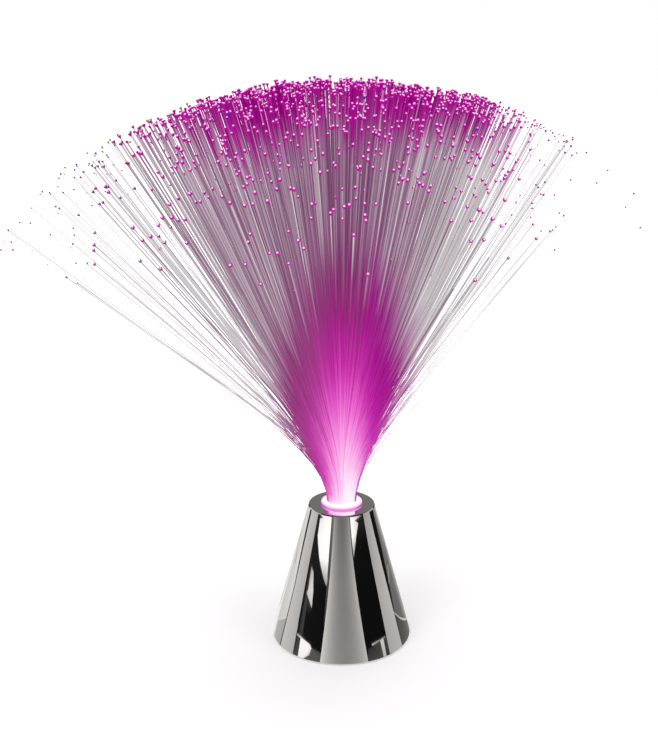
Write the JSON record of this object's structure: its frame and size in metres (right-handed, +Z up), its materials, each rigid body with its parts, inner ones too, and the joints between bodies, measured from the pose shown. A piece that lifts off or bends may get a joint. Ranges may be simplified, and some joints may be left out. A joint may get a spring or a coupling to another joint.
{
  "type": "fiber optic lamp",
  "caption": "Table lamp with a mirror-finished conical base, a turning translucent collar and a lift-out spray of light-carrying plastic fibers with lit ends.",
  "frame": {"origin": "centre of the face that the lamp stands on", "axes": "+Z up along the lamp's axis, -Y towards the picture's viewer, +X to the viewer's right"},
  "size_m": [0.3455, 0.347, 0.3296],
  "materials": {
    "chrome_shell": "mirror-bright plated plastic",
    "black_plastic": "fine moulded texture",
    "foot_foam": "soft matt",
    "screw_steel": "zinc plated",
    "cell_wrap": "plain shrink wrap",
    "contact_steel": "nickel plated",
    "contact_brass": "tinned",
    "board_brown": "pressed paper laminate",
    "knob_plastic": "satin",
    "white_plastic": "semi-gloss",
    "board_green": "solder mask",
    "led_red": "clear epoxy, lit",
    "led_green": "clear epoxy, lit",
    "led_blue": "clear epoxy, lit",
    "chip_black": "moulded epoxy",
    "wire_red": "vinyl",
    "wire_orange": "vinyl",
    "wire_black": "vinyl",
    "collar_plastic": "translucent, lit from inside",
    "ferrule_plastic": "translucent, lit from inside",
    "fiber_plastic": "clear acrylic fiber, lit magenta"
  },
  "bodies": {
    "base": {"chrome_shell": "chrome_shell", "base_plate": "black_plastic", "foot_ring": "foot_foam", "case_screws": "screw_steel", "battery_1": "cell_wrap", "battery_2": "cell_wrap", "battery_3": "cell_wrap", "contact_positive": "contact_steel", "contact_negative": "contact_steel", "contact_link_left": "contact_steel", "contact_link_right": "contact_steel", "battery_springs": "contact_steel", "switch_can": "contact_steel", "switch_wafer": "board_brown", "switch_terminals": "contact_brass", "switch_screws": "screw_steel", "light_holder": "white_plastic", "holder_screws": "screw_steel", "led_board": "board_green", "board_screws": "screw_steel", "led_red": "led_red", "led_green": "led_green", "led_blue": "led_blue", "control_chip": "chip_black", "resistors": "chip_black", "wire_battery_positive": "wire_red", "wire_switched_positive": "wire_orange", "wire_negative": "wire_black"},
    "door": {"battery_door": "black_plastic"},
    "switch": {"switch_knob": "knob_plastic", "switch_wiper": "contact_brass"},
    "collar": {"collar": "collar_plastic", "collar_clip": "contact_steel"},
    "spray": {"ferrule": "ferrule_plastic", "fiber_core": "fiber_plastic", "fiber_spray": "fiber_plastic"}
  },
  "joints": [
    {"name": "door_hinge", "type": "hinge", "parent": "base", "child": "door", "pos_m": [-0.0266, 0, 0.0012], "axis": [0, 1, 0], "range_deg": [0, 70]},
    {"name": "switch_slide", "type": "slide", "parent": "base", "child": "switch", "axis": [-1, 0, 0], "range_m": [0, 0.0035]},
    {"name": "spray_turn", "type": "hinge", "parent": "base", "child": "collar", "pos_m": [0, 0, 0.085], "axis": [0, 0, 1], "continuous": true},
    {"name": "spray_lift", "type": "slide", "parent": "collar", "child": "spray", "axis": [0, 0, 1], "range_m": [0, 0.032]}
  ]
}
